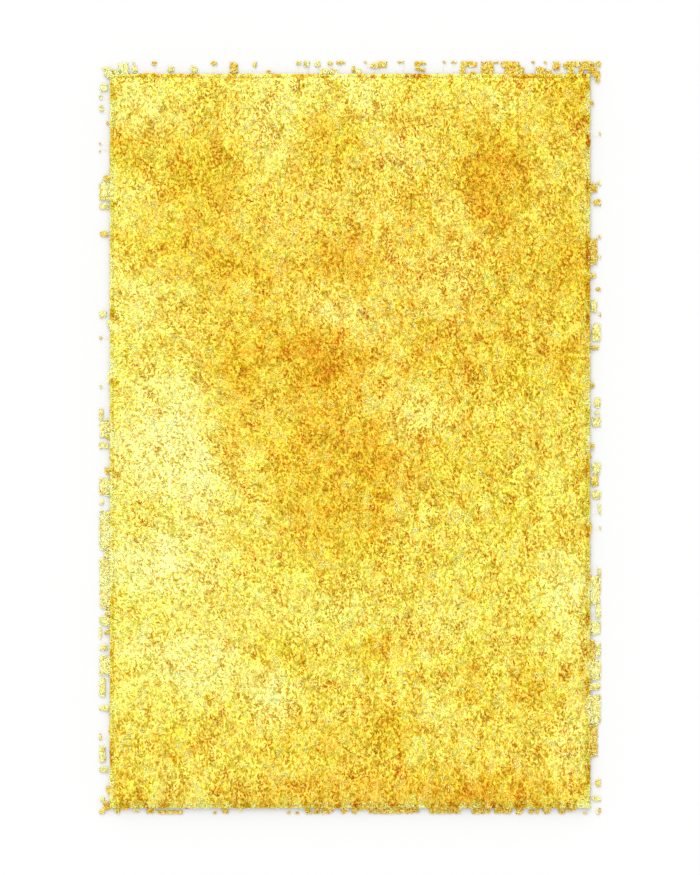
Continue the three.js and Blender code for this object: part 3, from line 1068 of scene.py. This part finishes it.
def make_pile(kind, count, layers, steps, heights, surface, material, rng):
    """Cut strands of one kind, in layers that each span the whole rug."""
    x, y = spread_places(count, rng)
    count = len(x)
    way = pile_way(x, y) + rng.normal(0, 1, count) * WAY_JITTER
    turn = rng.normal(0, 1, count) * CURL_TURN
    long = rng.uniform(SHORTEST, LONGEST, count)
    lift = rng.normal(0, 1, count) * LIFT_SPREAD
    stations = np.zeros((count, len(steps) + 1, 3))
    px, py = x.copy(), y.copy()
    x, y = turned_back(x, PILE_LEFT, PILE_RIGHT), turned_back(y, PILE_BOTTOM, PILE_TOP)
    root_height = np.maximum(surface.at(x, y) - ROOT_DEPTH, LOWEST_ROOT)
    stations[:, 0] = np.stack([x, y, root_height], axis=1)
    for k, (height, step) in enumerate(zip(heights, steps)):
        angle = way + turn * k
        px = px + np.cos(angle) * step * long
        py = py + np.sin(angle) * step * long
        x, y = turned_back(px, PILE_LEFT, PILE_RIGHT), turned_back(py, PILE_BOTTOM, PILE_TOP)
        stations[:, k + 1] = np.stack([x, y, surface.at(x, y) + height + lift], axis=1)
    stations[:, :, 2] = np.maximum(stations[:, :, 2], LOWEST_STRAND)
    taper = np.ones(len(steps))
    taper[0] = ROOT_SHARE
    if len(steps) > 2:
        taper[-1] = END_SHARE
    radii = STRAND_RADIUS * taper[None, :] * rng.uniform(THINNEST, THICKEST, (count, 1))
    tone = strand_tones(x, y, lift, rng)
    warm = warmth(x, y) + rng.normal(0, STRAND_WARMTH, count)
    dull_and_shade = strand_dullness_and_shade(x, y, lift, rng)
    layer = rng.permutation(count) % layers
    pieces = []
    for k in range(layers):
        chosen = layer == k
        own = (values[chosen] for values in (stations, radii, tone, warm, dull_and_shade))
        pieces.append(strands(f"{kind}_{k + 1}", *own, material))
    return pieces


def flow_height(out, flows, width):
    """The height of a tuft's curls over the floor, rising to the pile where the tuft flows from it."""
    top, foot = (FLOW_RISE, FLOW_REACH) if flows else (RIM_RISE, width)
    return np.clip(1 - out / foot, *FLOW_SHARES) ** FLOW_CURVE * top


def tuft_pad(tuft, width):
    """The matted mass of yarn under one tuft's curls, with rounded corners."""
    low, high = tuft.start * MM, tuft.end * MM
    flows = tuft.near == 0
    inner = PAD_START if flows else tuft.near * width
    outer = tuft.far * width
    inset = PAD_INSET * min(high - low, outer - inner)
    inner += 0 if flows else inset
    steps = np.linspace(-1, 1, PAD_POINTS)
    u, v = np.meshgrid(steps, steps, indexing="ij")
    cut = PAD_ROUND / 2 * min(high - low, outer - inner)
    along = (low + high) / 2 + u * ((high - low) / 2 - inset) - u ** 7 * v * v * cut
    out = (inner + outer - inset) / 2 + v * (outer - inset - inner) / 2 - v ** 7 * u ** 8 * cut
    falling = 1 - PAD_FALL * np.maximum(np.abs(u), np.abs(v)) ** 4
    top = PAD_THICKNESS * falling + np.where(flows, PAD_FLOW * flow_height(out, flows, width), 0)
    upper = np.stack([along, out, top], axis=2).reshape(-1, 3)
    lower = upper * (1, 1, 0) + (0, 0, RIM_GAP)
    return np.concatenate([upper, lower])


def make_pads(material):
    """The tufts' matted undersides, as one joined mesh."""
    points, quads, tones = [], [], []
    faces = grid_faces(PAD_POINTS, PAD_POINTS)
    corners = 2 * PAD_POINTS ** 2
    for side in RIM_SIDES:
        mirrored = side.along[0] * side.out[1] - side.along[1] * side.out[0] < 0
        for tuft in side.tufts:
            quads.append((faces[:, ::-1] if mirrored else faces) + len(points) * corners)
            points.append(rim_to_rug(side, tuft_pad(tuft, side.width)[None])[0])
            # A little darker than the tuft's curls: painted shade under them
            tones.append(np.full(corners, tuft.tone + PAD_PAINTED_SHADE))
    points, quads, tones = (np.concatenate(values) for values in (points, quads, tones))
    pads = add_mesh("rim_roots", points, np.arange(len(quads)) * 4, quads, material)
    add_value(pads, "tone", tones)
    add_value(pads, "warm", np.clip(np.interp(tones, RIM_TONES, RIM_WARMTHS), 0, 1))
    add_value(pads, "slant", np.zeros(len(tones)))
    return pads


def curl_places(tuft, width, rng):
    """Where one tuft's curls start, and the ragged limits that each keeps within."""
    low, high = tuft.start * MM, tuft.end * MM
    near, far = tuft.near * width, tuft.far * width
    count = max(FEWEST_CURLS, round(RIM_DENSITY * (high - low) * (far - near)))
    ragged = rng.uniform(0, 1, (4, count)) ** 2 * RIM_RAGGED
    left = low + ragged[0]
    right = np.maximum(high - ragged[1], left + MM)
    outer = np.minimum(far - ragged[3] * 0.5, width - RIM_RADIUS - RIM_GAP)
    inner = np.minimum(near + ragged[2], outer - MM) if near else np.full(count, CURLS_START)
    columns = max(1, round(math.sqrt(count * (high - low) / (far - near))))
    rows = math.ceil(count / columns)
    place = np.arange(count)
    along = left + (right - left) * (place % columns + rng.random(count)) / columns
    out = inner + (outer - inner) * (place // columns + rng.random(count)) / rows
    places = np.array([along, out, left, right, inner, outer])
    if (high - low) * (far - near) > HOLES_OVER:
        places = places[:, smooth_noise(along, out + tuft.tone, HOLE_CELL, SEED + 11) > HOLE_DEPTH]
    return places


def tuft_curls(tuft, width, rng):
    """One flopped tuft: its curls as (along, out, height) stations, and their radii."""
    along, out, left, right, inner, outer = curl_places(tuft, width, rng)
    count = len(along)
    flows = tuft.near == 0
    angle = rng.uniform(0, 2 * math.pi, count)
    turn = rng.normal(0, 1, count) * RIM_TURN
    lift = rng.random(count)
    under = rng.random(count) < UNDER_SHARE
    lift[under] = 0
    if flows:
        lift[~under] = 0.5 + 0.5 * lift[~under]
    stations = np.zeros((count, RIM_STEPS + 1, 3))
    for k in range(RIM_STEPS + 1):
        rise = flow_height(out, flows, width) * (LEAST_LIFT + (1 - LEAST_LIFT) * lift)
        height = RIM_LOW + rise - abs(k - RIM_STEPS / 2) * RIM_ARCH
        height += np.where(under, 0, RIM_OVER)
        stations[:, k] = np.stack([along, out, np.maximum(height, RIM_LOW)], axis=1)
        along = np.clip(along + np.cos(angle + turn * k) * RIM_STEP, left, right)
        out = np.clip(out + np.sin(angle + turn * k) * RIM_STEP, inner, outer)
    thick = rng.uniform(*RIM_RADII, count) * np.where(under, UNDER_THICKNESS, 1)
    radii = np.tile(RIM_RADIUS * thick[:, None], (1, RIM_STEPS))
    return stations, radii


def tuft_stems(tuft, width, rng):
    """The thin yarns that tie a tuft on the floor to the pile's edge."""
    low, high = tuft.start * MM, tuft.end * MM
    count = 1 + int((high - low) / STEM_EVERY)
    along = rng.uniform(low, high, count)
    lean = rng.uniform(-STEM_LEAN, STEM_LEAN, count)
    stations = np.zeros((count, RIM_STEPS + 1, 3))
    for k in range(RIM_STEPS + 1):
        share = k / RIM_STEPS
        stations[:, k, 0] = along + lean * share
        stations[:, k, 1] = STEM_START + (tuft.near * width + STEM_INTO) * share
        stations[:, k, 2] = RIM_LOW + STEM_RISE * (1 - share) ** 2
    return stations, np.full((count, RIM_STEPS), STEM_RADIUS)


def rim_to_rug(side, stations):
    """Turns (along, out, height) stations of one side into places on the rug."""
    start, along, out = (np.array(values) for values in (side.start, side.along, side.out))
    flat = start + stations[:, :, :1] * along + stations[:, :, 1:2] * out
    return np.concatenate([flat, stations[:, :, 2:]], axis=2)


def make_rim(material, rng):
    """The tufts round the pile, as one joined mesh."""
    stations, radii, tones = [], [], []
    for side in RIM_SIDES:
        for tuft in side.tufts:
            parts = [tuft_curls(tuft, side.width, rng)]
            if tuft.near > STEM_NEAR:
                parts.append(tuft_stems(tuft, side.width, rng))
            for (places, thick), shade in zip(parts, (tuft.tone, CREAM)):
                stations.append(rim_to_rug(side, places))
                radii.append(thick)
                tones.append(shade + rng.normal(0, RIM_SPREAD, len(places)))
    stations, radii, tones = (np.concatenate(values) for values in (stations, radii, tones))
    stations[:, :, 0] = np.clip(stations[:, :, 0], RUG_LEFT + RIM_INSET, RUG_RIGHT - RIM_INSET)
    stations[:, :, 1] = np.clip(stations[:, :, 1], RUG_BOTTOM + RIM_INSET, RUG_TOP - RIM_INSET)
    warm = np.interp(tones, RIM_TONES, RIM_WARMTHS) + rng.normal(0, STRAND_WARMTH, len(tones))
    dull_and_shade = (rng.random(len(tones)) < RIM_DULL_SHARE) * rng.uniform(*RIM_DULLNESS, len(tones))
    return strands("rim_tufts", stations, radii, np.clip(tones, DARKEST_TONE, 1), warm, dull_and_shade, material)


def hanging_rows(side, surface, rng):
    """The stations of the strands that hang over one side of the pile."""
    start, along, out = (np.array(values) for values in (side.start, side.along, side.out))
    upright = abs(along[1]) > 0
    length = PILE_TOP - PILE_BOTTOM if upright else PILE_RIGHT - PILE_LEFT
    skip = RUG_TOP - PILE_TOP if upright else PILE_LEFT - RUG_LEFT
    count = round(length / EDGE_SPACING)
    places = skip + (np.arange(count) + rng.random(count)) * length / count
    lean = rng.normal(0, EDGE_LEAN, count)
    spared = rng.uniform(0, SPARED_FALL, count)
    long = rng.uniform(*EDGE_LENGTHS, count)
    rows = np.zeros((count, len(EDGE_STATIONS), 3))
    for k, (reach, fall, share) in enumerate(EDGE_STATIONS):
        spot = start + np.outer(places + lean * share, along) + np.outer(reach * long, out)
        x = np.clip(spot[:, 0], PILE_LEFT + EDGE_INSET, PILE_RIGHT - EDGE_INSET)
        y = np.clip(spot[:, 1], PILE_BOTTOM + EDGE_INSET, PILE_TOP - EDGE_INSET)
        high = surface.at(x, y) - EDGE_SINK
        height = high + (EDGE_FOOT - high) * np.clip(fall * (1 - spared * (k > 1)), 0, 1)
        rows[:, k] = np.stack([x, y, height], axis=1)
    return rows


def make_edge(surface, material, rng):
    """Strands that hang over the pile's four edges and hide the cloth."""
    stations = np.concatenate([hanging_rows(side, surface, rng) for side in RIM_SIDES])
    count = len(stations)
    radii = np.tile(EDGE_RADIUS * rng.uniform(*EDGE_RADII, (count, 1)), (1, 3))
    x, y = stations[:, 1, 0], stations[:, 1, 1]
    tone = strand_tones(x, y, np.zeros(count), rng)
    warm = warmth(x, y) + rng.normal(0, STRAND_WARMTH, count)
    dull_and_shade = HANGING_DULL * rng.random(count) ** 2
    return strands("edge_strands", stations, radii, tone, warm, dull_and_shade, material)


def make_floor():
    """A plain pale floor, just below the rug."""
    half = FLOOR_SIZE / 2
    corners = [(-half, -half, 0), (half, -half, 0), (half, half, 0), (-half, half, 0)]
    floor = add_mesh("floor", corners, [0], [0, 1, 2, 3], floor_material(), smooth=False)
    floor.location.z = -FLOOR_DROP


def make_light():
    """A pale sky all round and a large soft sun from the photo's top."""
    world = bpy.data.worlds.new("studio")
    world.use_nodes = True
    sky = world.node_tree.nodes["Background"]
    sky.inputs["Color"].default_value = (1, 1, 1, 1)
    sky.inputs["Strength"].default_value = SKY_STRENGTH
    bpy.context.scene.world = world
    lamp = bpy.data.lights.new("key", "SUN")
    lamp.energy = SUN_STRENGTH
    lamp.angle = SUN_SOFTNESS
    sun = bpy.data.objects.new("key", lamp)
    east = math.cos(SUN_AZIMUTH) * math.cos(SUN_ELEVATION)
    north = math.sin(SUN_AZIMUTH) * math.cos(SUN_ELEVATION)
    towards = Vector((east, north, math.sin(SUN_ELEVATION)))
    sun.rotation_mode = "QUATERNION"
    sun.rotation_quaternion = towards.to_track_quat("Z", "Y")
    bpy.context.scene.collection.objects.link(sun)


def make_camera():
    """A camera straight above the rug's middle, which shows the rug as large as the photo does."""
    data = bpy.data.cameras.new("camera")
    data.lens = CAMERA_LENS
    data.sensor_width = SENSOR
    data.clip_end = FARTHEST_SEEN
    camera = bpy.data.objects.new("camera", data)
    shown_height = PICTURE_HEIGHT * (RUG_RIGHT - RUG_LEFT) / RUG_PIXELS
    camera.location = (0, 0, shown_height * CAMERA_LENS / SENSOR)
    bpy.context.scene.collection.objects.link(camera)
    bpy.context.scene.camera = camera
    bpy.context.scene.view_settings.view_transform = "Standard"
    bpy.context.scene.view_settings.look = "None"


surface = Surface(NODE, SURFACE_CELL)
backing, backing_flat = make_backing(backing_material())
roots = bed_material()
bed = make_bed(surface, roots)
# Three yarns of one dye with different painted shade: much at the roots and sides in the pile, little in
# the tufts on the floor and the hanging strands
yarn = yarn_material("gold_yarn", MOTTLE, root_painted_shade=0.58, side_painted_shade=0.48)
flopped = yarn_material("flopped_yarn", RIM_MOTTLE, root_painted_shade=0.0, side_painted_shade=0.12)
hanging = yarn_material("hanging_yarn", MOTTLE, root_painted_shade=0.1, side_painted_shade=0.2)
chance = np.random.default_rng(SEED)
pile = make_pile("tips", TIPS, TIP_LAYERS, TIP_STEPS, TIP_HEIGHTS, surface, yarn, chance)
pile += make_pile("curls", CURLS, CURL_LAYERS, CURL_STEPS, CURL_HEIGHTS, surface, yarn, chance)
rim = make_rim(flopped, chance)
edge = make_edge(surface, hanging, chance)
pile += [rim, edge, make_pads(roots)]
pieces = [backing, bed, *pile]
for piece in pieces:
    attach(piece, BODY)
    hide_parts(NODE)
make_floor()
make_light()
make_camera()
